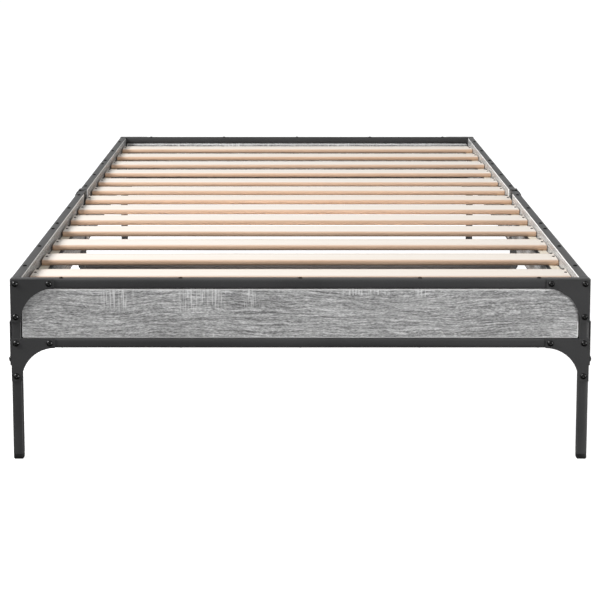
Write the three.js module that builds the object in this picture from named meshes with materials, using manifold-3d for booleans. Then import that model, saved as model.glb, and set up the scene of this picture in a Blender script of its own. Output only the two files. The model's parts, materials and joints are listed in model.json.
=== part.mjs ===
// Single bed frame: two welded end frames with legs, board-filled side rails in two halves, a middle
// support and a slatted base. Millimetres, +Z up, +Y from the front end to the rear end, origin on the
// floor under the middle of the bed.
import * as THREE from "three";
import { mergeVertices } from "three/addons/utils/BufferGeometryUtils.js";
import Module from "manifold-3d";

// Overall sizes
const WIDTH = 1030; // over the corner legs
const LENGTH = 2030; // over the gusset plates
const HEIGHT = 330; // floor to rail top
const GAP = 0.3; // clearance between pieces that touch

// Steel sections
const LEG = 18; // square leg tube, and the depth of the end rails
const RAIL_HEIGHT = 17;
const MID_TUBE = 15; // square tube of the middle support
const TUBE_WALL = 1.2;
const TUBE_RADIUS = 2;
const LOWER_RAIL_DROP = 108; // rail top to the top of the lower rail

// Side rails
const ANGLE_THICKNESS = 1.5;
const ANGLE_FLANGE = 16.5; // horizontal flange
const ANGLE_WEB = 17; // vertical flange
const BOARD_THICKNESS = 15;
const PANEL_TOP_CLEARANCE = 1.5; // shadow gap between an end panel and the rail above it
const PANEL_SIDE_CLEARANCE = 1.2;
const SIDE_RAIL_HEIGHT = 125;
const BOARD_END_FROM_MIDDLE = 36; // leaves a slot on each side of the middle leg
const ANGLE_END_FROM_MIDDLE = 12.5; // leaves a gap across the flange at the middle leg
const SCREW_STATIONS = [122, 314, 506, 571, 764, 948]; // from the bed's end, along a top flange
const END_RAIL_SCREWS = [-425, -213, 0, 213, 425]; // across an end rail

// Plates and bolts
const PLATE = 2;
const GUSSET_ARC = 60;
const GUSSET_ARM = LEG + GUSSET_ARC; // the arc runs out at the end of the upper arm
const GUSSET_BOLT_PITCH = 60;
const BOLT_HOLE = 5.4;
const SCREW_HOLE = 3.6;
const HOLE_SIDES = 10;
const BRACKET_TOP_DROP = 77;
const BRACKET_BOTTOM_DROP = 157;
const BRACKET_BOLT_DROP = 147;
const BRACKET_ARC = 30;
const JOINT_PLATE_LENGTH = 77;
const JOINT_BOLT_OFFSET = 28;

// Slatted base
const SLAT_WIDTH = 72;
const SLAT_THICKNESS = 11;
const SLAT_RADIUS = 4.5;
const SLAT_TOP_DROP = 16;
const SLAT_GAP_LEFT = 3.5;
const SLAT_GAP_RIGHT = 1.2;
const FIRST_SLAT = 138; // front end to the middle of the first slat
const SLAT_PITCHES = [153, 153, 153, 137, 137, 137, 137, 137, 155, 155, 155, 155];
const LEDGE_WIDTH = 20;
const LEDGE_HEIGHT = 10;
const LEDGE_TOP_DROP = 28; // leaves room for the webbing under the slats

// Middle cross tube and feet
const CROSS_TUBE_DROP = 180;
const MID_LEG_TOP_DROP = 3.5; // rail top to the top of a middle leg, just under the top flange
const FOOT_HEIGHT = 10;
const FOOT_EDGE = 2.5;
const FOOT_PLUG_DEPTH = 12;

// Places worked out from the sizes above
const OUTER_X = WIDTH / 2;
const PLATE_FACE_Y = LENGTH / 2;
const FRAME_FACE_Y = PLATE_FACE_Y - PLATE - GAP;
const FRAME_INNER_Y = FRAME_FACE_Y - LEG;
const LEG_X = OUTER_X - LEG / 2;
const LEG_Y = FRAME_FACE_Y - LEG / 2;
const LOWER_RAIL_TOP = HEIGHT - LOWER_RAIL_DROP;
const BOARD_OUTER_X = OUTER_X - ANGLE_THICKNESS - GAP;
const BOARD_INNER_X = BOARD_OUTER_X - BOARD_THICKNESS;
const SIDE_START_Y = FRAME_INNER_Y - GAP;
const SIDE_BOTTOM = HEIGHT - SIDE_RAIL_HEIGHT;
const MID_LEG_X = OUTER_X - MID_TUBE / 2;
const SLAT_LEFT = -BOARD_INNER_X + SLAT_GAP_LEFT;
const SLAT_RIGHT = BOARD_INNER_X - SLAT_GAP_RIGHT;

const STEEL = { color: 0x3a3a3c, roughness: 0.5, metalness: 0.6 };
const BOARD = { color: 0xa6a5a3, roughness: 0.6, metalness: 0 };
const SLAT_WOOD = { color: 0xead8bf, roughness: 0.6, metalness: 0 };
const FOOT_PLASTIC = { color: 0x161616, roughness: 0.45, metalness: 0 };

const wasm = await Module();
wasm.setup();
const frame = new THREE.Group();

// --- Solids ---------------------------------------------------------------------------------------

// A closed geometry as a manifold solid.
function solidOf(geometry) {
  const bare = geometry.index ? geometry.toNonIndexed() : geometry.clone();
  bare.deleteAttribute("normal");
  bare.deleteAttribute("uv");
  const merged = mergeVertices(bare, 1e-4);
  const mesh = new wasm.Mesh({
    numProp: 3,
    vertProperties: merged.attributes.position.array,
    triVerts: new Uint32Array(merged.index.array),
  });
  return new wasm.Manifold(mesh);
}

function geometryOf(solid) {
  const mesh = solid.getMesh();
  const geometry = new THREE.BufferGeometry();
  geometry.setAttribute("position", new THREE.BufferAttribute(mesh.vertProperties, 3));
  geometry.setIndex(new THREE.BufferAttribute(mesh.triVerts, 1));
  return geometry;
}

// Cuts every tool geometry out of the body.
function cut(body, tools) {
  let solid = solidOf(body);
  for (const tool of tools) {
    solid = solid.subtract(solidOf(tool));
  }
  return geometryOf(solid);
}

function drillTool(diameter, depth, axis, x, y, z) {
  const tool = new THREE.CylinderGeometry(diameter / 2, diameter / 2, depth, HOLE_SIDES);
  if (axis === "x") tool.rotateZ(Math.PI / 2);
  if (axis === "z") tool.rotateX(Math.PI / 2);
  return tool.translate(x, y, z);
}

// A rectangle centred on the origin with round corners.
function roundedRectangle(width, height, radius, path = new THREE.Shape()) {
  const x = width / 2;
  const y = height / 2;
  path.moveTo(x - radius, -y);
  path.absarc(x - radius, -y + radius, radius, -Math.PI / 2, 0);
  path.absarc(x - radius, y - radius, radius, 0, Math.PI / 2);
  path.absarc(-x + radius, y - radius, radius, Math.PI / 2, Math.PI);
  path.absarc(-x + radius, -y + radius, radius, Math.PI, Math.PI * 1.5);
  path.closePath();
  return path;
}

// A shape in XY pushed up Z, centred on Z = 0. A quarter-circle gets twice curveSegments facets.
function push(shape, length, curveSegments = 1) {
  const geometry = new THREE.ExtrudeGeometry(shape, { depth: length, bevelEnabled: false, curveSegments });
  return geometry.translate(0, 0, -length / 2);
}

// A rectangular tube along Z.
function tube(width, height, length) {
  const section = roundedRectangle(width, height, TUBE_RADIUS);
  const [innerWidth, innerHeight] = [width - 2 * TUBE_WALL, height - 2 * TUBE_WALL];
  const inside = roundedRectangle(innerWidth, innerHeight, TUBE_RADIUS - TUBE_WALL, new THREE.Path());
  section.holes.push(inside);
  return push(section, length);
}

function circleHole(x, y, diameter) {
  const centre = new THREE.Vector2(x, y);
  const points = [];
  for (let side = 0; side < HOLE_SIDES; side += 1) {
    const angle = (-2 * Math.PI * side) / HOLE_SIDES;
    points.push(new THREE.Vector2(x + diameter / 2, y).rotateAround(centre, angle));
  }
  return new THREE.Path(points);
}

function addPiece(name, geometry, finish) {
  const mesh = new THREE.Mesh(geometry, new THREE.MeshStandardMaterial(finish));
  mesh.name = name;
  frame.add(mesh);
  return mesh;
}

// --- End frames, drawn for the rear right corner and mirrored by a scale of -1 ---------------------------

// The rail side of the mitre line that runs from the frame's outer top corner to its inner one, or the
// leg side of it, as a prism to cut with.
function mitreTool(onRailSide) {
  const slope = RAIL_HEIGHT / LEG;
  const far = { x: OUTER_X + LEG, z: HEIGHT + LEG * slope };
  const near = { x: OUTER_X - 2 * LEG, z: HEIGHT - 2 * LEG * slope };
  const corner = onRailSide ? { x: near.x, z: far.z } : { x: far.x, z: near.z };
  const shift = onRailSide ? GAP / 2 : -GAP / 2;
  const shape = new THREE.Shape();
  shape.moveTo(near.x + shift, near.z - shift);
  shape.lineTo(far.x + shift, far.z - shift);
  shape.lineTo(corner.x + shift, corner.z - shift);
  shape.closePath();
  return push(shape, 3 * LEG).rotateX(Math.PI / 2).translate(0, LEG_Y, 0);
}

function gussetBolts(railTop) {
  const x = LEG_X;
  const z = railTop - RAIL_HEIGHT / 2;
  return [
    [x, z],
    [x - GUSSET_BOLT_PITCH, z],
    [x, z - GUSSET_BOLT_PITCH],
  ];
}

function cornerLeg() {
  const length = HEIGHT - FOOT_HEIGHT;
  const body = tube(LEG, LEG, length).translate(LEG_X, LEG_Y, FOOT_HEIGHT + length / 2);
  const tools = [mitreTool(true)];
  for (const [x, z] of [...gussetBolts(HEIGHT), ...gussetBolts(LOWER_RAIL_TOP)]) {
    const isOnLeg = x === LEG_X && z < HEIGHT - RAIL_HEIGHT;
    if (isOnLeg) tools.push(drillTool(BOLT_HOLE, LEG / 2, "y", x, FRAME_FACE_Y, z));
  }
  tools.push(drillTool(BOLT_HOLE, LEG / 2, "x", OUTER_X, LEG_Y, HEIGHT - BRACKET_BOLT_DROP));
  return cut(body, tools);
}

function topRail() {
  const z = HEIGHT - RAIL_HEIGHT / 2;
  const body = tube(RAIL_HEIGHT, LEG, WIDTH).rotateY(Math.PI / 2).translate(0, LEG_Y, z);
  const right = mitreTool(false);
  const left = right.clone().rotateZ(Math.PI).translate(0, 2 * LEG_Y, 0);
  const tools = [right, left];
  const boltX = LEG_X - GUSSET_BOLT_PITCH;
  for (const x of [-boltX, boltX]) {
    tools.push(drillTool(BOLT_HOLE, LEG / 2, "y", x, FRAME_FACE_Y, z));
  }
  for (const x of END_RAIL_SCREWS) {
    tools.push(drillTool(SCREW_HOLE, RAIL_HEIGHT / 2, "z", x, LEG_Y, HEIGHT));
  }
  return cut(body, tools);
}

function lowerRail() {
  const z = LOWER_RAIL_TOP - RAIL_HEIGHT / 2;
  const length = WIDTH - 2 * (LEG + GAP);
  const body = tube(RAIL_HEIGHT, LEG, length).rotateY(Math.PI / 2).translate(0, LEG_Y, z);
  const boltX = LEG_X - GUSSET_BOLT_PITCH;
  const bolts = [-boltX, boltX].map((x) => drillTool(BOLT_HOLE, LEG / 2, "y", x, FRAME_FACE_Y, z));
  const screws = END_RAIL_SCREWS.map((x) =>
    drillTool(SCREW_HOLE, RAIL_HEIGHT / 2, "z", x, LEG_Y, LOWER_RAIL_TOP - RAIL_HEIGHT));
  return cut(body, [...bolts, ...screws]);
}

function endPanel() {
  const height = LOWER_RAIL_DROP - RAIL_HEIGHT - GAP - PANEL_TOP_CLEARANCE;
  const width = WIDTH - 2 * (LEG + PANEL_SIDE_CLEARANCE);
  const z = LOWER_RAIL_TOP + GAP + height / 2;
  return new THREE.BoxGeometry(width, BOARD_THICKNESS, height).translate(0, LEG_Y, z);
}

// A flat plate that ties a leg to a rail, with a hollow quarter-circle edge.
function gusset(railTop) {
  const inner = OUTER_X - LEG;
  const under = railTop - RAIL_HEIGHT;
  const shape = new THREE.Shape();
  shape.moveTo(OUTER_X, railTop);
  shape.lineTo(OUTER_X - GUSSET_ARM, railTop);
  shape.lineTo(OUTER_X - GUSSET_ARM, under);
  shape.absarc(inner - GUSSET_ARC, under - GUSSET_ARC, GUSSET_ARC, Math.PI / 2, 0, true);
  shape.lineTo(inner, railTop - GUSSET_ARM);
  shape.lineTo(OUTER_X, railTop - GUSSET_ARM);
  shape.closePath();
  for (const [x, z] of gussetBolts(railTop)) {
    shape.holes.push(circleHole(x, z, BOLT_HOLE));
  }
  return push(shape, PLATE, 6).rotateX(Math.PI / 2).translate(0, PLATE_FACE_Y - PLATE / 2, 0);
}

// A cap with a rounded lower edge whose plug sits in the tube.
function footCap(size) {
  const outline = roundedRectangle(size - 2 * FOOT_EDGE, size - 2 * FOOT_EDGE, TUBE_RADIUS / 2);
  const pad = new THREE.ExtrudeGeometry(outline, {
    depth: 2 * FOOT_HEIGHT,
    bevelSize: FOOT_EDGE,
    bevelThickness: FOOT_EDGE,
    bevelSegments: 3,
    curveSegments: 1,
  }).translate(0, 0, FOOT_EDGE);
  const trim = new THREE.BoxGeometry(2 * size, 2 * size, 4 * FOOT_HEIGHT)
    .translate(0, 0, 3 * FOOT_HEIGHT - GAP);
  const plugSize = size - 2 * (TUBE_WALL + GAP);
  const plug = new THREE.BoxGeometry(plugSize, plugSize, FOOT_PLUG_DEPTH + FOOT_HEIGHT / 2)
    .translate(0, 0, FOOT_HEIGHT / 2 + (FOOT_PLUG_DEPTH + FOOT_HEIGHT / 2) / 2);
  return geometryOf(solidOf(pad).subtract(solidOf(trim)).add(solidOf(plug)));
}

const ENDS = [["front", -1], ["rear", 1]];
const SIDES = [["left", -1], ["right", 1]];

function buildEndFrames() {
  for (const [end, endSign] of ENDS) {
    const centre = [
      [`${end}_top_rail`, topRail(), STEEL],
      [`${end}_lower_rail`, lowerRail(), STEEL],
      [`${end}_panel`, endPanel(), BOARD],
    ];
    for (const [name, geometry, finish] of centre) {
      addPiece(name, geometry, finish).scale.set(1, endSign, 1);
    }
    for (const [side, sideSign] of SIDES) {
      const corner = [
        [`${end}_leg_${side}`, cornerLeg(), STEEL],
        [`${end}_gusset_upper_${side}`, gusset(HEIGHT), STEEL],
        [`${end}_gusset_lower_${side}`, gusset(LOWER_RAIL_TOP), STEEL],
        [`${end}_foot_${side}`, footCap(LEG).translate(LEG_X, LEG_Y, 0), FOOT_PLASTIC],
      ];
      for (const [name, geometry, finish] of corner) {
        addPiece(name, geometry, finish).scale.set(sideSign, endSign, 1);
      }
    }
  }
}

// --- Side rails, drawn for the rear half of the right side ---------------------------------------------

// Runs a section drawn in XZ along Y, from one Y to another.
function runAlongY(shape, from, to) {
  return push(shape, to - from).rotateX(Math.PI / 2).translate(0, (from + to) / 2, 0);
}

// A steel angle whose corner is the rail's outer edge; direction is 1 for the top one and -1 below.
function sideAngle(cornerZ, direction) {
  const round = ANGLE_THICKNESS;
  const inner = OUTER_X - ANGLE_THICKNESS;
  const z = (drop) => cornerZ - direction * drop;
  const shape = new THREE.Shape();
  shape.moveTo(OUTER_X, z(ANGLE_WEB));
  shape.lineTo(OUTER_X, z(round));
  shape.quadraticCurveTo(OUTER_X, z(0), OUTER_X - round, z(0));
  shape.lineTo(OUTER_X - ANGLE_FLANGE, z(0));
  shape.lineTo(OUTER_X - ANGLE_FLANGE, z(ANGLE_THICKNESS));
  shape.lineTo(inner, z(ANGLE_THICKNESS));
  shape.lineTo(inner, z(ANGLE_WEB));
  shape.closePath();
  const body = runAlongY(shape, ANGLE_END_FROM_MIDDLE, SIDE_START_Y);
  const holeX = OUTER_X - ANGLE_FLANGE / 2;
  const tools = SCREW_STATIONS.map((station) =>
    drillTool(SCREW_HOLE, 3 * ANGLE_THICKNESS, "z", holeX, PLATE_FACE_Y - station, cornerZ));
  tools.push(drillTool(BOLT_HOLE, 3 * ANGLE_THICKNESS, "x", OUTER_X, JOINT_BOLT_OFFSET, z(ANGLE_WEB / 2)));
  return cut(body, tools);
}

function sideBoard() {
  const clear = ANGLE_THICKNESS + GAP;
  const height = SIDE_RAIL_HEIGHT - 2 * clear;
  const length = SIDE_START_Y - BOARD_END_FROM_MIDDLE;
  const x = (BOARD_OUTER_X + BOARD_INNER_X) / 2;
  return new THREE.BoxGeometry(BOARD_THICKNESS, length, height)
    .translate(x, BOARD_END_FROM_MIDDLE + length / 2, SIDE_BOTTOM + clear + height / 2);
}

// The tube along a side that carries the slat ends.
function slatLedge() {
  const x = BOARD_INNER_X - GAP - LEDGE_WIDTH / 2;
  const z = HEIGHT - LEDGE_TOP_DROP - LEDGE_HEIGHT / 2;
  return tube(LEDGE_WIDTH, LEDGE_HEIGHT, 2 * SIDE_START_Y).rotateX(Math.PI / 2).translate(x, 0, z);
}

// A plate outside the corner, from the leg to the side rail.
function cornerBracket() {
  const legInner = FRAME_FACE_Y - LEG;
  const armEnd = FRAME_FACE_Y - GUSSET_ARM;
  const top = HEIGHT - BRACKET_TOP_DROP;
  const bottom = HEIGHT - BRACKET_BOTTOM_DROP;
  const boltZ = SIDE_BOTTOM + ANGLE_WEB / 2;
  const shape = new THREE.Shape();
  shape.moveTo(FRAME_FACE_Y, top);
  shape.lineTo(armEnd, top);
  shape.lineTo(armEnd, SIDE_BOTTOM);
  shape.lineTo(legInner - BRACKET_ARC, SIDE_BOTTOM);
  shape.absarc(legInner - BRACKET_ARC, SIDE_BOTTOM - BRACKET_ARC, BRACKET_ARC, Math.PI / 2, 0, true);
  shape.lineTo(legInner, bottom);
  shape.lineTo(FRAME_FACE_Y, bottom);
  shape.closePath();
  shape.holes.push(circleHole(LEG_Y, HEIGHT - BRACKET_BOLT_DROP, BOLT_HOLE));
  shape.holes.push(circleHole(LEG_Y - GUSSET_BOLT_PITCH, boltZ, BOLT_HOLE));
  shape.holes.push(circleHole(LEG_Y - GUSSET_BOLT_PITCH, top - ANGLE_WEB / 2, BOLT_HOLE));
  return push(shape, PLATE, 4).rotateX(Math.PI / 2).rotateZ(Math.PI / 2)
    .translate(OUTER_X + GAP + PLATE / 2, 0, 0);
}

// The plate outside the middle leg that joins the two halves of a side rail.
function jointPlate() {
  const height = SIDE_RAIL_HEIGHT - 2 * GAP;
  const shape = roundedRectangle(height, JOINT_PLATE_LENGTH, TUBE_RADIUS);
  const railBolt = SIDE_RAIL_HEIGHT / 2 - ANGLE_WEB / 2;
  for (const z of [-railBolt, railBolt]) {
    for (const y of [-JOINT_BOLT_OFFSET, JOINT_BOLT_OFFSET]) {
      shape.holes.push(circleHole(z, y, BOLT_HOLE));
    }
  }
  for (const z of [-JOINT_BOLT_OFFSET, JOINT_BOLT_OFFSET]) {
    shape.holes.push(circleHole(z, 0, BOLT_HOLE));
  }
  return push(shape, PLATE).rotateY(Math.PI / 2)
    .translate(OUTER_X + GAP + PLATE / 2, 0, HEIGHT - SIDE_RAIL_HEIGHT / 2);
}

function midLeg() {
  const top = HEIGHT - MID_LEG_TOP_DROP;
  const length = top - FOOT_HEIGHT;
  const body = tube(MID_TUBE, MID_TUBE, length).translate(MID_LEG_X, 0, FOOT_HEIGHT + length / 2);
  const plateMiddle = HEIGHT - SIDE_RAIL_HEIGHT / 2;
  const tools = [-JOINT_BOLT_OFFSET, JOINT_BOLT_OFFSET].map((z) =>
    drillTool(BOLT_HOLE, MID_TUBE / 2, "x", OUTER_X, 0, plateMiddle + z));
  tools.push(drillTool(BOLT_HOLE, MID_TUBE / 2, "x", OUTER_X, 0, HEIGHT - CROSS_TUBE_DROP));
  return cut(body, tools);
}

function buildSides() {
  for (const [side, sideSign] of SIDES) {
    const whole = [
      [`${side}_slat_ledge`, slatLedge(), STEEL],
      [`${side}_joint_plate`, jointPlate(), STEEL],
      [`${side}_mid_leg`, midLeg(), STEEL],
      [`${side}_mid_foot`, footCap(MID_TUBE).translate(MID_LEG_X, 0, 0), FOOT_PLASTIC],
    ];
    for (const [name, geometry, finish] of whole) {
      addPiece(name, geometry, finish).scale.set(sideSign, 1, 1);
    }
    for (const [end, endSign] of ENDS) {
      const half = [
        [`${side}_top_angle_${end}`, sideAngle(HEIGHT, 1), STEEL],
        [`${side}_bottom_angle_${end}`, sideAngle(SIDE_BOTTOM, -1), STEEL],
        [`${side}_board_${end}`, sideBoard(), BOARD],
        [`${side}_corner_bracket_${end}`, cornerBracket(), STEEL],
      ];
      for (const [name, geometry, finish] of half) {
        addPiece(name, geometry, finish).scale.set(sideSign, endSign, 1);
      }
    }
  }
}

// --- Middle cross tube and slats ------------------------------------------------------------------

function buildCrossTube() {
  const length = 2 * (OUTER_X - MID_TUBE - GAP);
  const geometry = tube(MID_TUBE, MID_TUBE, length).rotateY(Math.PI / 2);
  addPiece("mid_cross_tube", geometry, STEEL).position.z = HEIGHT - CROSS_TUBE_DROP;
}

function buildSlats() {
  const section = roundedRectangle(SLAT_THICKNESS, SLAT_WIDTH, SLAT_RADIUS);
  const middleZ = HEIGHT - SLAT_TOP_DROP - SLAT_THICKNESS / 2;
  const places = SLAT_PITCHES.reduce((all, pitch) => [...all, all.at(-1) + pitch], [FIRST_SLAT]);
  places.forEach((place, index) => {
    const geometry = push(section, SLAT_RIGHT - SLAT_LEFT, 3).rotateY(Math.PI / 2);
    const slat = addPiece(`slat_${String(index + 1).padStart(2, "0")}`, geometry, SLAT_WOOD);
    slat.position.set((SLAT_LEFT + SLAT_RIGHT) / 2, place - PLATE_FACE_Y, middleZ);
  });
}

buildEndFrames();
buildSides();
buildCrossTube();
buildSlats();

export default frame;
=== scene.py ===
"""Looks for the single metal bed frame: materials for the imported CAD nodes, and the bolts, screws and
webbing that are too small or too many for the CAD model. Everything is in metres, in the CAD frame."""

import json
import math
import random

import bpy
from mathutils import Matrix, Vector, noise

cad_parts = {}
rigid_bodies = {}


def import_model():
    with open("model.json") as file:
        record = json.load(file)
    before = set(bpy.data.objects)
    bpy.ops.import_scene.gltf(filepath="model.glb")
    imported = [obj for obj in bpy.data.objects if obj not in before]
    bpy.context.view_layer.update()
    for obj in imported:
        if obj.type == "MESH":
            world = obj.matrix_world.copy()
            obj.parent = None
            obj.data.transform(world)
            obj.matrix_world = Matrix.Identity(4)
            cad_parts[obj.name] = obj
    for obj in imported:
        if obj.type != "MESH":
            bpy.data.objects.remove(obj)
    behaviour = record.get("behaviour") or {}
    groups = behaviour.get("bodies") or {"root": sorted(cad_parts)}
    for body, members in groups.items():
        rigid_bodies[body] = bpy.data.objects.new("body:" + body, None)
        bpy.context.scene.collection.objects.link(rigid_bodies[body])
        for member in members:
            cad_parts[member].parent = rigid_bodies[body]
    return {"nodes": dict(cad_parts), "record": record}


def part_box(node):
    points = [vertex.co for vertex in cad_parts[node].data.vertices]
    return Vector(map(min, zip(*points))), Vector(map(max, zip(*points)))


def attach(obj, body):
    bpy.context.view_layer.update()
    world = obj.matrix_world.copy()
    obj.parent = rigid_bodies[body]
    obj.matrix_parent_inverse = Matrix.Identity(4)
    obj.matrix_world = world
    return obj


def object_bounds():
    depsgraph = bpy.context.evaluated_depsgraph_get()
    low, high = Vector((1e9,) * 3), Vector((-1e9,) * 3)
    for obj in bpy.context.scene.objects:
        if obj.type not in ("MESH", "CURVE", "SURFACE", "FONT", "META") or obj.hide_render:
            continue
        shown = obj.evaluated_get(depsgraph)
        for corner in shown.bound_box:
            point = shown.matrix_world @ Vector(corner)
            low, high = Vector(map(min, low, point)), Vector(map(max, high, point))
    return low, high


for left_over in list(bpy.data.objects):
    bpy.data.objects.remove(left_over)

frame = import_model()
cad_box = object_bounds()

MM = 0.001
ENDS = ("front", "rear")
SIDES = ("left", "right")
BODY = "root"

# Fasteners
BOLT_RADIUS = 5.6 * MM
BOLT_HEIGHT = 3.4 * MM
BOLT_SOCKET = 1.9 * MM  # across the flats, halved
SCREW_RADIUS = 4.0 * MM
SCREW_HEIGHT = 1.7 * MM
PIN_RADIUS = 2.8 * MM
PIN_HEIGHT = 1.5 * MM
RING_POINTS = 24
DOME_STEPS = 5
LEG_MIDDLE = 9.0 * MM
RAIL_MIDDLE = 8.5 * MM
BOLT_PITCH = 60.0 * MM
BRACKET_LEG_BOLT = 70.0 * MM
BRACKET_RAIL_BOLT = 39.5 * MM
JOINT_BOLT_OFFSET = 28.0 * MM
JOINT_RAIL_BOLT = 54.0 * MM
SCREW_STATIONS = [place * MM for place in (122, 314, 506, 571, 764, 948)]
END_RAIL_SCREWS = [place * MM for place in (-425, -213, 0, 213, 425)]
PIN_FROM_END = 5.0 * MM
PINS_FROM_REAR_EDGE = (6.0 * MM, 36.0 * MM)

# Rounding of the CAD pieces' edges
STEEL_BEVEL = 0.35 * MM
BOARD_BEVEL = 2.8 * MM
SLAT_BEVEL = 0.8 * MM
FOOT_BEVEL = 0.4 * MM
SHARP_ANGLE = math.radians(50)

# Webbing
WEBBING_MARGIN = 1.5 * MM  # from each edge of the ledge
WEBBING_OVERHANG = 8 * MM  # past the first and last slats
WEBBING_THICKNESS = 0.7 * MM
WEBBING_RIPPLE = 1.2 * MM
WEBBING_FREE_GAP = 20 * MM  # how far from a slat the ripple reaches its full height
WEBBING_ACROSS = 10  # mesh steps
WEBBING_ALONG = 360

INDEX_START = 2000  # so that every slat's pass index is above zero

# Patches of saw marks on a board: middle along the grain, half width, middle height and half height
SAW_PATCHES = [
    (-0.326, 0.030, 0.294, 0.024),
    (-0.175, 0.044, 0.296, 0.026),
    (-0.092, 0.020, 0.298, 0.020),
    (0.120, 0.045, 0.308, 0.008),
    (0.215, 0.012, 0.306, 0.010),
]


# --- Node helpers --------------------------------------------------------------------------------


class Nodes:
    """Short calls for building a node tree."""

    def __init__(self, tree):
        self.tree = tree

    def add(self, kind, inputs=None, **settings):
        node = self.tree.nodes.new(kind)
        for key, value in settings.items():
            setattr(node, key, value)
        for key, value in (inputs or {}).items():
            self.feed(node.inputs[key], value)
        return node

    def feed(self, socket, value):
        if isinstance(value, bpy.types.NodeSocket):
            self.tree.links.new(value, socket)
        else:
            socket.default_value = value

    def math(self, operation, a, b=0.0):
        node = self.add("ShaderNodeMath", operation=operation)
        self.feed(node.inputs[0], a)
        self.feed(node.inputs[1], b)
        return node.outputs[0]

    def remap(self, value, low, high, to_low=0.0, to_high=1.0):
        node = self.add("ShaderNodeMapRange")
        for name, given in zip(("Value", "From Min", "From Max", "To Min", "To Max"),
                               (value, low, high, to_low, to_high)):
            self.feed(node.inputs[name], given)
        return node.outputs[0]

    def scaled(self, vector, scale):
        return self.add("ShaderNodeMapping", {"Vector": vector, "Scale": scale}).outputs[0]

    def noise(self, vector, detail=2.0, roughness=0.5, distortion=0.0):
        inputs = {"Vector": vector, "Scale": 1.0, "Detail": detail, "Roughness": roughness,
                  "Distortion": distortion}
        return self.add("ShaderNodeTexNoise", inputs).outputs["Fac"]

    def mix(self, factor, a, b, blend="MIX"):
        node = self.add("ShaderNodeMix", data_type="RGBA", blend_type=blend, clamp_factor=True)
        self.feed(node.inputs[0], factor)
        self.feed(node.inputs[6], a)
        self.feed(node.inputs[7], b)
        return node.outputs[2]

    def ramp(self, factor, stops):
        node = self.add("ShaderNodeValToRGB", {"Fac": factor})
        points = node.color_ramp.elements
        while len(points) < len(stops):
            points.new(0.5)
        for point, (position, color) in zip(points, stops):
            point.position = position
            point.color = color
        return node.outputs["Color"]

    def bump(self, height, strength, distance):
        inputs = {"Height": height, "Strength": strength, "Distance": distance}
        return self.add("ShaderNodeBump", inputs).outputs["Normal"]


def rgb(red, green, blue):
    return (red, green, blue, 1.0)


def start_material(name):
    material = bpy.data.materials.new(name)
    material.use_nodes = True
    nodes = Nodes(material.node_tree)
    shader = material.node_tree.nodes["Principled BSDF"]
    place = nodes.add("ShaderNodeTexCoord").outputs["Object"]
    return material, nodes, shader, place


# --- Materials -------------------------------------------------------------------------------------


def steel_material():
    """Charcoal powder coat: fine orange peel, thin dust on what faces up, edges a shade lighter, partly for
    wear and partly as a painted highlight.
    """
    material, nodes, shader, place = start_material("charcoal_powder_coat")
    cloud = nodes.noise(nodes.scaled(place, (7, 7, 7)), detail=3)
    speck = nodes.noise(nodes.scaled(place, (800, 800, 800)), detail=1)
    peel = nodes.noise(nodes.scaled(place, (600, 600, 600)), detail=2)
    base = nodes.ramp(cloud, [(0.3, rgb(0.026, 0.026, 0.0265)), (0.7, rgb(0.035, 0.035, 0.036))])
    specked = nodes.mix(nodes.remap(speck, 0.55, 0.8, 0.0, 0.6), base, rgb(0.07, 0.07, 0.072))
    normal = nodes.add("ShaderNodeNewGeometry").outputs["Normal"]
    up = nodes.add("ShaderNodeSeparateXYZ", {"Vector": normal}).outputs["Z"]
    dust = nodes.math("MULTIPLY", nodes.remap(up, 0.5, 1.0), nodes.remap(cloud, 0.35, 0.7, 0.05, 0.3))
    color = nodes.mix(dust, specked, rgb(0.07, 0.07, 0.07))
    # painted highlight: the rounded edges are a shade lighter, partly for wear and partly standing in for the
    # light they catch
    color = nodes.mix(nodes.math("MULTIPLY", edge_mask(nodes, 0.80, 0.97), 0.3), color, rgb(0.08, 0.08, 0.08))
    nodes.feed(shader.inputs["Base Color"], color)
    nodes.feed(shader.inputs["Roughness"], nodes.remap(cloud, 0.3, 0.7, 0.40, 0.5))
    nodes.feed(shader.inputs["Normal"], nodes.bump(peel, 0.25, 0.25 * MM))
    return material


def edge_mask(nodes, low, high):
    """1 where the surface turns between two axes, as on a rounded edge, and 0 on flat faces."""
    normal = nodes.add("ShaderNodeNewGeometry").outputs["Normal"]
    facing = nodes.add("ShaderNodeSeparateXYZ", {"Vector": normal})
    flat = 0.0
    for axis in ("X", "Y", "Z"):
        flat = nodes.math("MAXIMUM", nodes.math("ABSOLUTE", facing.outputs[axis]), flat)
    return nodes.remap(flat, low, high, 1.0, 0.0)


def saw_marks(nodes, along):
    """Pale lines across the grain, in a few patches that repeat every metre."""
    split = nodes.add("ShaderNodeSeparateXYZ", {"Vector": along})
    wrap = nodes.add("ShaderNodeMath", operation="WRAP")
    nodes.feed(wrap.inputs[0], split.outputs["X"])
    nodes.feed(wrap.inputs[1], 0.5)
    nodes.feed(wrap.inputs[2], -0.5)
    ragged = nodes.noise(nodes.scaled(along, (60, 10, 60)), detail=2)
    patches = 0.0
    for middle, half_width, height, half_height in SAW_PATCHES:
        u = nodes.math("ABSOLUTE", nodes.math("SUBTRACT", wrap.outputs[0], middle))
        v = nodes.math("ABSOLUTE", nodes.math("SUBTRACT", split.outputs["Z"], height))
        reach_u = nodes.math("DIVIDE", u, half_width)
        reach_v = nodes.math("DIVIDE", v, half_height)
        reach = nodes.math("MAXIMUM", reach_u, reach_v)
        reach = nodes.math("ADD", reach, nodes.math("MULTIPLY", ragged, 0.9))
        patches = nodes.math("MAXIMUM", nodes.remap(reach, 1.1, 1.5, 1.0, 0.0), patches)
    lines = nodes.noise(nodes.scaled(along, (340, 4, 18)), detail=1)
    return nodes.math("MULTIPLY", nodes.remap(lines, 0.53, 0.63), patches)


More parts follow.
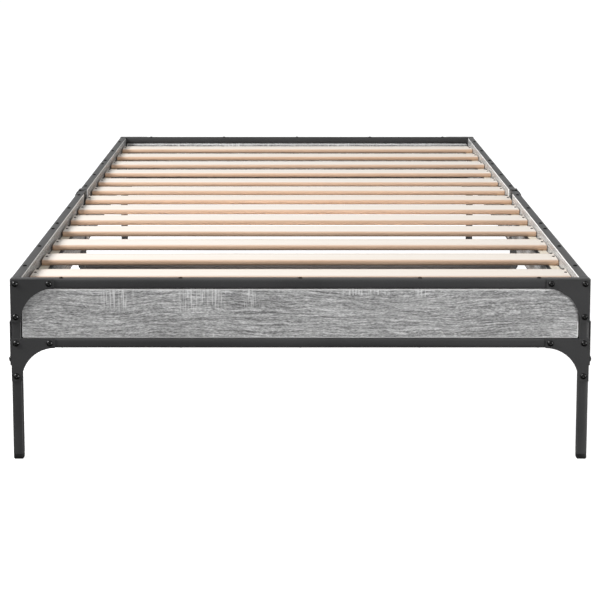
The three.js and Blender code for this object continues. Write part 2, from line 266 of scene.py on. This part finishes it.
def board_material(grain_axis):
    """Grey sawn-oak laminate with its grain along X or Y: short fibres, wandering bands, saw marks and
    near-white bevels, which are partly a pale laminate edge and partly a painted highlight.
    """
    material, nodes, shader, place = start_material("grey_oak_grain_" + grain_axis.lower())
    turn = (0, 0, 0) if grain_axis == "X" else (0, 0, math.radians(-90))
    along = nodes.add("ShaderNodeMapping", {"Vector": place, "Rotation": turn}).outputs[0]
    wander = nodes.noise(nodes.scaled(along, (3.2, 3, 9)), detail=2)
    ripple = nodes.noise(nodes.scaled(along, (17, 6, 46)), detail=2)
    shift = nodes.math("ADD", nodes.math("MULTIPLY", wander, 0.055), nodes.math("MULTIPLY", ripple, 0.009))
    lift = nodes.add("ShaderNodeCombineXYZ", {"Z": shift}).outputs[0]
    flow = nodes.add("ShaderNodeVectorMath", operation="ADD")
    nodes.feed(flow.inputs[0], along)
    nodes.feed(flow.inputs[1], lift)
    flow = flow.outputs[0]
    fibre = nodes.noise(nodes.scaled(flow, (210, 120, 680)), detail=2, roughness=0.6)
    streak = nodes.noise(nodes.scaled(flow, (50, 60, 500)), detail=2, roughness=0.6)
    band = nodes.noise(nodes.scaled(flow, (7, 12, 380)), detail=1)
    tone = nodes.math("ADD", nodes.math("MULTIPLY", fibre, 0.42), nodes.math("MULTIPLY", streak, 0.30))
    tone = nodes.math("ADD", tone, nodes.math("MULTIPLY", band, 0.28))
    color = nodes.ramp(nodes.remap(tone, 0.39, 0.61), [
        (0.0, rgb(0.15, 0.15, 0.15)),
        (0.35, rgb(0.31, 0.31, 0.31)),
        (0.65, rgb(0.45, 0.45, 0.45)),
        (1.0, rgb(0.70, 0.70, 0.70)),
    ])
    marks = saw_marks(nodes, along)
    color = nodes.mix(nodes.math("MULTIPLY", marks, 0.6), color, rgb(0.82, 0.82, 0.82))
    # painted highlight: the bevelled edges are near white, partly a pale laminate edge and partly standing in
    # for the light they catch
    edges = nodes.math("MULTIPLY", edge_mask(nodes, 0.94, 0.998), 0.9)
    color = nodes.mix(edges, color, rgb(0.95, 0.95, 0.94))
    nodes.feed(shader.inputs["Base Color"], color)
    nodes.feed(shader.inputs["Roughness"], nodes.remap(fibre, 0.3, 0.7, 0.34, 0.2))
    relief = nodes.math("ADD", nodes.math("MULTIPLY", fibre, 0.7), nodes.math("MULTIPLY", marks, 0.3))
    nodes.feed(shader.inputs["Normal"], nodes.bump(relief, 0.3, 0.25 * MM))
    shader.inputs["Specular IOR Level"].default_value = 0.3
    return material


def slat_material():
    """Pale planed plywood: quiet grain along X, a painted shade of tan on the top towards the long edges,
    warm tan on the rounded edges that is partly their own tone and partly painted shade, plies on the cut
    ends.
    Each slat's object colour is its own tint, and its pass index is its middle in mm past INDEX_START."""
    material, nodes, shader, place = start_material("pale_slat_wood")
    spot = nodes.add("ShaderNodeSeparateXYZ", {"Vector": place})
    normal = nodes.add("ShaderNodeNewGeometry").outputs["Normal"]
    facing = nodes.add("ShaderNodeSeparateXYZ", {"Vector": normal})
    own = nodes.add("ShaderNodeObjectInfo")
    middle = nodes.math("MULTIPLY", nodes.math("ADD", own.outputs["Object Index"], -INDEX_START), MM)
    across = nodes.math("ABSOLUTE", nodes.math("SUBTRACT", spot.outputs["Y"], middle))
    grain = nodes.noise(nodes.scaled(place, (6, 330, 330)), detail=4, roughness=0.6)
    flame = nodes.noise(nodes.scaled(place, (2.4, 34, 34)), detail=2, distortion=0.6)
    face = nodes.mix(nodes.remap(flame, 0.42, 0.72, 0.0, 0.5), rgb(0.86, 0.81, 0.75), rgb(0.86, 0.78, 0.69))
    face = nodes.mix(nodes.remap(grain, 0.5, 0.8, 0.0, 0.4), face, rgb(0.77, 0.66, 0.54))
    # the tan on faces turned away from up is partly the plywood's edge tone and partly painted shade on the
    # rounded edges
    edge = nodes.mix(nodes.remap(grain, 0.35, 0.7), rgb(0.66, 0.47, 0.34), rgb(0.55, 0.37, 0.255))
    # painted shade: the top of each slat turns tan towards both long edges, standing in for the shading
    # across its width
    painted_edge_shade = nodes.remap(across, 24 * MM, 36 * MM, 0.0, 0.55)
    turned_tone_and_shade = nodes.remap(nodes.math("ABSOLUTE", facing.outputs["Z"]), 0.80, 1.0, 1.0, 0.0)
    color = nodes.mix(nodes.math("MAXIMUM", painted_edge_shade, turned_tone_and_shade), face, edge)
    color = nodes.mix(1.0, color, own.outputs["Color"], "MULTIPLY")
    plies = nodes.math("SINE", nodes.math("MULTIPLY", spot.outputs["Z"], 2 * math.pi / (2.2 * MM)))
    end = nodes.math("ABSOLUTE", facing.outputs["X"])
    ply = nodes.math("MULTIPLY", nodes.remap(plies, 0.0, 0.6), nodes.remap(end, 0.8, 0.95, 0.0, 0.7))
    nodes.feed(shader.inputs["Base Color"], nodes.mix(ply, color, rgb(0.36, 0.20, 0.11)))
    nodes.feed(shader.inputs["Roughness"], nodes.remap(grain, 0.3, 0.75, 0.5, 0.68))
    nodes.feed(shader.inputs["Normal"], nodes.bump(grain, 0.25, 0.2 * MM))
    shader.inputs["Specular IOR Level"].default_value = 0.3
    return material


def plastic_material():
    """Moulded black plastic with a fine spark-eroded grain."""
    material, nodes, shader, place = start_material("black_moulded_plastic")
    grain = nodes.noise(nodes.scaled(place, (1500, 1500, 1500)), detail=2)
    scuff = nodes.noise(nodes.scaled(place, (120, 120, 300)), detail=3)
    worn = nodes.remap(scuff, 0.55, 0.75, 0.0, 0.5)
    color = nodes.mix(worn, rgb(0.010, 0.010, 0.010), rgb(0.03, 0.03, 0.03))
    nodes.feed(shader.inputs["Base Color"], color)
    nodes.feed(shader.inputs["Roughness"], nodes.remap(scuff, 0.4, 0.7, 0.35, 0.55))
    nodes.feed(shader.inputs["Normal"], nodes.bump(grain, 0.3, 0.1 * MM))
    return material


def bolt_material():
    """Glossy black zinc, a little greyer where a key has worn it."""
    material, nodes, shader, place = start_material("black_bolt")
    rub = nodes.noise(nodes.scaled(place, (420, 420, 420)), detail=3)
    color = nodes.mix(nodes.remap(rub, 0.6, 0.8, 0.0, 0.5), rgb(0.002, 0.002, 0.002), rgb(0.02, 0.02, 0.02))
    nodes.feed(shader.inputs["Base Color"], color)
    nodes.feed(shader.inputs["Roughness"], nodes.remap(rub, 0.3, 0.7, 0.2, 0.32))
    nodes.feed(shader.inputs["Normal"], nodes.bump(rub, 0.1, 0.1 * MM))
    return material


def screw_material():
    """Matt black phosphate."""
    material, nodes, shader, place = start_material("black_screw")
    grit = nodes.noise(nodes.scaled(place, (900, 900, 900)), detail=2)
    color = nodes.mix(grit, rgb(0.002, 0.002, 0.002), rgb(0.008, 0.008, 0.008))
    nodes.feed(shader.inputs["Base Color"], color)
    nodes.feed(shader.inputs["Roughness"], nodes.remap(grit, 0.3, 0.7, 0.5, 0.65))
    shader.inputs["Specular IOR Level"].default_value = 0.15
    return material


def pin_material():
    """Dark bronzed steel for the small heads that hold the slats."""
    material, nodes, shader, place = start_material("bronzed_pin")
    stain = nodes.noise(nodes.scaled(place, (700, 700, 700)), detail=3)
    color = nodes.mix(stain, rgb(0.003, 0.0025, 0.002), rgb(0.012, 0.009, 0.007))
    nodes.feed(shader.inputs["Base Color"], color)
    nodes.feed(shader.inputs["Roughness"], nodes.remap(stain, 0.3, 0.7, 0.35, 0.55))
    shader.inputs["Metallic"].default_value = 0.6
    return material


def webbing_material():
    """Cream woven strap: two thread directions, with soft shade between the threads."""
    material, nodes, shader, place = start_material("cream_webbing")
    split = nodes.add("ShaderNodeSeparateXYZ", {"Vector": place})
    turns = 2 * math.pi / (1.6 * MM)
    warp = nodes.math("SINE", nodes.math("MULTIPLY", split.outputs["X"], turns))
    weft = nodes.math("SINE", nodes.math("MULTIPLY", split.outputs["Y"], turns))
    weave = nodes.math("MULTIPLY", warp, weft)
    fuzz = nodes.noise(nodes.scaled(place, (900, 900, 900)), detail=3)
    shade = nodes.math("ADD", nodes.math("MULTIPLY", weave, 0.25), fuzz)
    color = nodes.ramp(shade, [(0.2, rgb(0.55, 0.47, 0.35)), (0.8, rgb(0.82, 0.75, 0.62))])
    nodes.feed(shader.inputs["Base Color"], color)
    nodes.feed(shader.inputs["Normal"], nodes.bump(shade, 0.6, 0.4 * MM))
    shader.inputs["Roughness"].default_value = 0.9
    shader.inputs["Sheen Weight"].default_value = 0.3
    return material


def white_material(name, glow, albedo):
    """Plain white for the stage: mostly glow, with a little shading left for soft contact shadows."""
    material, nodes, shader, _ = start_material(name)
    shader.inputs["Base Color"].default_value = rgb(albedo, albedo, albedo)
    shader.inputs["Roughness"].default_value = 1.0
    shader.inputs["Specular IOR Level"].default_value = 0.0
    shader.inputs["Emission Color"].default_value = rgb(1.0, 1.0, 1.0)
    shader.inputs["Emission Strength"].default_value = glow
    return material


# --- Mesh helpers ----------------------------------------------------------------------------------


def even_edges():
    """A node group that drops the imported normals and shades smoothly except across sharp edges."""
    group = bpy.data.node_groups.new("even_edges", "GeometryNodeTree")
    group.interface.new_socket("Geometry", in_out="INPUT", socket_type="NodeSocketGeometry")
    group.interface.new_socket("Geometry", in_out="OUTPUT", socket_type="NodeSocketGeometry")
    nodes = Nodes(group)
    given = nodes.add("NodeGroupInput").outputs[0]
    bare = nodes.add("GeometryNodeRemoveAttribute", {"Geometry": given, "Name": "custom_normal"}).outputs[0]
    angle = nodes.add("GeometryNodeInputMeshEdgeAngle").outputs["Unsigned Angle"]
    sharp = nodes.add("FunctionNodeCompare", data_type="FLOAT", operation="GREATER_THAN")
    nodes.feed(sharp.inputs[0], angle)
    sharp.inputs[1].default_value = SHARP_ANGLE
    faces = nodes.add("GeometryNodeSetShadeSmooth", {"Geometry": bare, "Shade Smooth": True})
    edges = nodes.add("GeometryNodeSetShadeSmooth", {"Geometry": faces.outputs[0], "Shade Smooth": False,
                                                     "Selection": sharp.outputs[0]}, domain="EDGE")
    result = nodes.add("NodeGroupOutput")
    nodes.feed(result.inputs[0], edges.outputs[0])
    return group


EVEN_EDGES = even_edges()
TINTS = random.Random(5)


def finish_cad_node(name, material, bevel):
    """Joins the faces of a CAD node, rounds its edges and gives it its material."""
    piece = frame["nodes"][name]
    piece.data.materials.clear()
    piece.data.materials.append(material)
    weld = piece.modifiers.new("weld", "WELD")
    weld.merge_threshold = 0.01 * MM
    flat = piece.modifiers.new("flat", "DECIMATE")
    flat.decimate_type = "DISSOLVE"
    flat.angle_limit = math.radians(1)
    even = piece.modifiers.new("even", "NODES")
    even.node_group = EVEN_EDGES
    round_edges = piece.modifiers.new("round_edges", "BEVEL")
    round_edges.width = bevel
    round_edges.segments = 3
    round_edges.limit_method = "ANGLE"
    round_edges.angle_limit = SHARP_ANGLE
    round_edges.harden_normals = True
    return piece


def ring(radius, height, shape=lambda angle: 1.0):
    """A ring of points round Z, whose radius is scaled by shape(angle)."""
    points = []
    for step in range(RING_POINTS):
        angle = 2 * math.pi * step / RING_POINTS
        reach = radius * shape(angle)
        points.append(Vector((reach * math.cos(angle), reach * math.sin(angle), height)))
    return points


def stack(rings):
    """Joins rings into a closed surface. The first and last rings are capped."""
    points = [point for each in rings for point in each]
    count = RING_POINTS
    faces = []
    for level in range(len(rings) - 1):
        for step in range(count):
            a = level * count + step
            b = level * count + (step + 1) % count
            faces.append((a, b, b + count, a + count))
    faces.append(tuple(reversed(range(count))))
    faces.append(tuple(range((len(rings) - 1) * count, len(rings) * count)))
    return points, faces


def hexagon(angle):
    """The outline of a hexagon whose flats are one radius away."""
    step = math.pi / 3
    return 1.0 / math.cos((angle % step) - step / 2)


def cross(angle):
    """A soft four-armed star, for a cross recess."""
    return 0.42 + 0.58 * abs(math.cos(2 * angle)) ** 3


def dome(radius, height, rim):
    """Rings from the rim of a domed head up towards its top, without the recess."""
    rings = [ring(radius, 0.0), ring(radius, rim * 0.7), ring(radius * 0.97, rim)]
    for step in range(1, DOME_STEPS):
        angle = math.pi / 2 * step / DOME_STEPS
        rings.append(ring(radius * 0.97 * math.cos(angle), rim + (height - rim) * math.sin(angle)))
    return rings


def button_head():
    """A low domed bolt head with a hexagon socket."""
    rings = dome(BOLT_RADIUS, BOLT_HEIGHT, 0.7 * MM)[:-1]
    top = BOLT_HEIGHT * 0.985
    rings.append(ring(BOLT_SOCKET * 1.12, top, hexagon))
    rings.append(ring(BOLT_SOCKET, top - 0.15 * MM, hexagon))
    rings.append(ring(BOLT_SOCKET * 0.96, BOLT_HEIGHT - 1.9 * MM, hexagon))
    rings.append(ring(BOLT_SOCKET * 0.3, BOLT_HEIGHT - 2.2 * MM))
    return stack(rings)


def pan_head(radius, height):
    """A shallow screw head with a cross recess."""
    rings = dome(radius, height, height * 0.35)[:-1]
    top = height * 0.98
    rings.append(ring(radius * 0.55, top, cross))
    rings.append(ring(radius * 0.5, top - height * 0.12, cross))
    rings.append(ring(radius * 0.3, top - height * 0.65, cross))
    return stack(rings)


def scatter(name, head, spots, material):
    """One piece that holds a copy of a head at each spot: a point on the surface and the way it faces."""
    head_points, head_faces = head
    points, faces = [], []
    for index, (place, facing) in enumerate(spots):
        turn = Vector(facing).to_track_quat("Z", "Y").to_matrix().to_4x4()
        spin = Matrix.Rotation(1.3 * index, 4, "Z")
        move = Matrix.Translation(place) @ turn @ spin
        start = len(points)
        points += [move @ point for point in head_points]
        faces += [tuple(start + corner for corner in face) for face in head_faces]
    mesh = bpy.data.meshes.new(name)
    mesh.from_pydata(points, [], faces)
    mesh.set_sharp_from_angle(angle=math.radians(40))
    for face in mesh.polygons:
        face.use_smooth = True
    mesh.materials.append(material)
    piece = bpy.data.objects.new(name, mesh)
    bpy.context.scene.collection.objects.link(piece)
    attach(piece, BODY)


# --- Pieces ----------------------------------------------------------------------------------------


def finish_cad_nodes():
    steel = steel_material()
    boards = {"X": board_material("X"), "Y": board_material("Y")}
    slat = slat_material()
    plastic = plastic_material()
    slots = {part["node"]: part["material_slot"] for part in frame["record"]["subparts"]}
    for name, slot in slots.items():
        if slot == "frame_steel":
            finish_cad_node(name, steel, STEEL_BEVEL)
        elif slot == "grey_board":
            grain = "X" if name.endswith("panel") else "Y"
            finish_cad_node(name, boards[grain], BOARD_BEVEL)
        elif slot == "slat_wood":
            warmth = TINTS.uniform(-0.03, 0.03)
            piece = finish_cad_node(name, slat, SLAT_BEVEL)
            piece.color = (1.0, 0.985 + warmth * 0.5, 0.97 + warmth, 1.0)
            low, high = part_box(name)
            piece.pass_index = round(INDEX_START + (low.y + high.y) / 2 / MM)
        else:
            finish_cad_node(name, plastic, FOOT_BEVEL)


def gusset_bolts(end, level, side):
    low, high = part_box(f"{end}_gusset_{level}_{side}")
    out_x = 1 if side == "right" else -1
    out_y = 1 if end == "rear" else -1
    x = high.x if out_x > 0 else low.x
    y = high.y if out_y > 0 else low.y
    leg = x - out_x * LEG_MIDDLE
    rail = high.z - RAIL_MIDDLE
    places = [(leg, rail), (leg - out_x * BOLT_PITCH, rail), (leg, rail - BOLT_PITCH)]
    return [((px, y, pz), (0, out_y, 0)) for px, pz in places]


def bracket_bolts(side, end):
    low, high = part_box(f"{side}_corner_bracket_{end}")
    out_x = 1 if side == "right" else -1
    out_y = 1 if end == "rear" else -1
    x = high.x if out_x > 0 else low.x
    outer_y = high.y if out_y > 0 else low.y
    leg = outer_y - out_y * LEG_MIDDLE
    arm = leg - out_y * BOLT_PITCH
    drops = [(leg, BRACKET_LEG_BOLT), (arm, BRACKET_RAIL_BOLT), (arm, RAIL_MIDDLE)]
    places = [(y, high.z - drop) for y, drop in drops]
    return [((x, py, pz), (out_x, 0, 0)) for py, pz in places]


def joint_bolts(side):
    low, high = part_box(f"{side}_joint_plate")
    out_x = 1 if side == "right" else -1
    x = high.x if out_x > 0 else low.x
    middle = (low + high) / 2
    offsets = (-JOINT_BOLT_OFFSET, JOINT_BOLT_OFFSET)
    places = [(y, z) for y in offsets for z in (-JOINT_RAIL_BOLT, JOINT_RAIL_BOLT)]
    places += [(0.0, z) for z in offsets]
    return [((x, middle.y + y, middle.z + z), (out_x, 0, 0)) for y, z in places]


def cross_tube_bolt(side):
    low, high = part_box(f"{side}_mid_leg")
    tube_low, tube_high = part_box("mid_cross_tube")
    out_x = 1 if side == "right" else -1
    x = high.x if out_x > 0 else low.x
    return [((x, 0.0, (tube_low.z + tube_high.z) / 2), (out_x, 0, 0))]


def add_bolts():
    black = bolt_material()
    head = button_head()
    for end in ENDS:
        for side in SIDES:
            for level in ("upper", "lower"):
                name = f"{end}_gusset_{level}_{side}_bolts"
                scatter(name, head, gusset_bolts(end, level, side), black)
            name = f"{side}_corner_bracket_{end}_bolts"
            scatter(name, head, bracket_bolts(side, end), black)
    for side in SIDES:
        scatter(f"{side}_joint_plate_bolts", head, joint_bolts(side), black)
        scatter(f"{side}_cross_tube_bolt", head, cross_tube_bolt(side), black)


def add_screws():
    black = screw_material()
    head = pan_head(SCREW_RADIUS, SCREW_HEIGHT)
    length = cad_box[1].y
    for side in SIDES:
        for end in ENDS:
            out_y = 1 if end == "rear" else -1
            for level, up in (("top", 1), ("bottom", -1)):
                low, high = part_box(f"{side}_{level}_angle_{end}")
                z = high.z if up > 0 else low.z
                x = (low.x + high.x) / 2
                spots = [((x, out_y * (length - station), z), (0, 0, up)) for station in SCREW_STATIONS]
                scatter(f"{side}_{level}_angle_{end}_screws", head, spots, black)
    for end in ENDS:
        for level, up in (("top", 1), ("lower", -1)):
            low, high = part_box(f"{end}_{level}_rail")
            z = high.z if up > 0 else low.z
            y = (low.y + high.y) / 2
            spots = [((x, y, z), (0, 0, up)) for x in END_RAIL_SCREWS]
            scatter(f"{end}_{level}_rail_screws", head, spots, black)


def add_slat_pins():
    bronze = pin_material()
    head = pan_head(PIN_RADIUS, PIN_HEIGHT)
    for name in sorted(frame["nodes"]):
        if not name.startswith("slat_"):
            continue
        low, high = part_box(name)
        spots = []
        for x in (low.x + PIN_FROM_END, high.x - PIN_FROM_END):
            for back in PINS_FROM_REAR_EDGE:
                spots.append(((x, high.y - back, high.z), (0, 0, 1)))
        scatter(name + "_pins", head, spots, bronze)


def add_webbing():
    """A flat strap on each ledge, under the slats, with a slight ripple between them."""
    cream = webbing_material()
    slats = sorted(name for name in frame["nodes"] if name.startswith("slat_"))
    spans = [(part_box(name)[0].y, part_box(name)[1].y) for name in slats]
    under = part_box(slats[0])[0].z - 0.1 * MM
    for side in SIDES:
        low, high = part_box(f"{side}_slat_ledge")
        start = spans[0][0] - WEBBING_OVERHANG
        stop = spans[-1][1] + WEBBING_OVERHANG
        width = high.x - low.x - 2 * WEBBING_MARGIN
        points, faces = [], []
        for step in range(WEBBING_ALONG + 1):
            y = start + (stop - start) * step / WEBBING_ALONG
            gap = min((max(a - y, y - b, 0.0) for a, b in spans))
            lift = WEBBING_RIPPLE * min(1.0, gap / WEBBING_FREE_GAP) ** 2
            lift *= 0.5 + 0.5 * noise.noise(Vector((y * 14, 3.0 if side == "left" else 9.0, 0)))
            for column in range(WEBBING_ACROSS + 1):
                share = column / WEBBING_ACROSS
                x = low.x + WEBBING_MARGIN + width * share
                sag = 0.15 * MM * math.sin(math.pi * share)
                points.append(Vector((x, y, under + max(lift - sag, 0.0) * (gap > 0))))
        row = WEBBING_ACROSS + 1
        for step in range(WEBBING_ALONG):
            for column in range(WEBBING_ACROSS):
                a = step * row + column
                faces.append((a, a + 1, a + 1 + row, a + row))
        mesh = bpy.data.meshes.new(f"{side}_webbing")
        mesh.from_pydata(points, [], faces)
        for face in mesh.polygons:
            face.use_smooth = True
        mesh.materials.append(cream)
        strap = bpy.data.objects.new(f"{side}_webbing", mesh)
        bpy.context.scene.collection.objects.link(strap)
        thick = strap.modifiers.new("thickness", "SOLIDIFY")
        thick.thickness = WEBBING_THICKNESS
        thick.offset = -1
        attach(strap, BODY)


# --- Stage -----------------------------------------------------------------------------------------


def add_stage_piece(name, points, faces, material):
    """A part of the studio that the camera sees, but that throws no light on the bed."""
    mesh = bpy.data.meshes.new(name)
    mesh.from_pydata(points, [], faces)
    mesh.materials.append(material)
    piece = bpy.data.objects.new(name, mesh)
    bpy.context.scene.collection.objects.link(piece)
    piece.visible_diffuse = False
    piece.visible_glossy = False
    piece.visible_shadow = False


def add_floor():
    half = 40.0
    corners = [(-half, -half, 0), (half, -half, 0), (half, half, 0), (-half, half, 0)]
    add_stage_piece("floor", corners, [(0, 1, 2, 3)], white_material("pale_floor", 0.86, 0.4))


def add_backdrop():
    """A white wall all round, so that the horizon doesn't show."""
    radius, height, sides = 38.0, 45.0, 48
    points, faces = [], []
    for step in range(sides):
        angle = 2 * math.pi * step / sides
        x, y = radius * math.cos(angle), radius * math.sin(angle)
        points += [(x, y, -0.5), (x, y, height)]
        a, b = 2 * step, 2 * ((step + 1) % sides)
        faces.append((a, b, b + 1, a + 1))
    faces.append(tuple(range(1, 2 * sides, 2)))
    add_stage_piece("backdrop", points, faces, white_material("white_backdrop", 1.0, 0.0))


def add_sky():
    """Soft light from all round: brightest near the horizon, a little brighter on the right, dim below."""
    world = bpy.data.worlds.new("studio")
    bpy.context.scene.world = world
    world.use_nodes = True
    nodes = Nodes(world.node_tree)
    direction = nodes.add("ShaderNodeTexCoord").outputs["Generated"]
    split = nodes.add("ShaderNodeSeparateXYZ", {"Vector": direction})
    height = nodes.remap(split.outputs["Z"], -1.0, 1.0)
    glow = nodes.ramp(height, [
        (0.0, rgb(0.03, 0.03, 0.03)),
        (0.35, rgb(0.10, 0.10, 0.10)),
        (0.495, rgb(0.35, 0.35, 0.35)),
        (0.505, rgb(1.0, 1.0, 1.0)),
        (0.58, rgb(0.75, 0.75, 0.75)),
        (0.70, rgb(0.42, 0.42, 0.42)),
        (1.0, rgb(0.40, 0.40, 0.40)),
    ])
    side = nodes.remap(split.outputs["X"], -1.0, 1.0, 0.8, 1.2)
    background = world.node_tree.nodes["Background"]
    nodes.feed(background.inputs["Color"], glow)
    nodes.feed(background.inputs["Strength"], side)


def add_lamp(name, place, target, size, watts):
    data = bpy.data.lights.new(name, "AREA")
    data.shape = "DISK"
    data.size = size
    data.energy = watts
    lamp = bpy.data.objects.new(name, data)
    lamp.location = place
    lamp.rotation_euler = (Vector(target) - lamp.location).to_track_quat("-Z", "Y").to_euler()
    lamp.visible_camera = False
    bpy.context.scene.collection.objects.link(lamp)
    return lamp


def add_lamps():
    """A soft key from the upper left, a low fill from the front right, and a warm strip under the bed."""
    add_lamp("key", (-5.6, -2.2, 4.5), (0, 0, 0), 3.0, 660)
    add_lamp("fill", (3.0, -3.5, 0.25), (0, -1, 0.2), 1.5, 70)
    bounce = add_lamp("bounce", (0.0, -0.45, 0.06), (0, 0.8, 0.28), 0.9, 2.0)
    bounce.data.shape = "RECTANGLE"
    bounce.data.size_y = 0.08
    bounce.data.color = (1.0, 0.84, 0.74)


def add_camera():
    data = bpy.data.cameras.new("camera")
    data.lens = 104.73
    data.sensor_width = 36
    data.shift_x = 0.0138
    data.shift_y = -0.25
    camera = bpy.data.objects.new("camera", data)
    camera.location = (-0.0151, -4.0507, 0.9658)
    camera.rotation_euler = (math.radians(90 - 7.593), 0, 0)
    bpy.context.scene.collection.objects.link(camera)
    bpy.context.scene.camera = camera


bpy.context.scene.view_settings.view_transform = "Standard"
add_camera()
finish_cad_nodes()
add_bolts()
add_screws()
add_slat_pins()
add_webbing()
add_floor()
add_backdrop()
add_sky()
add_lamps()
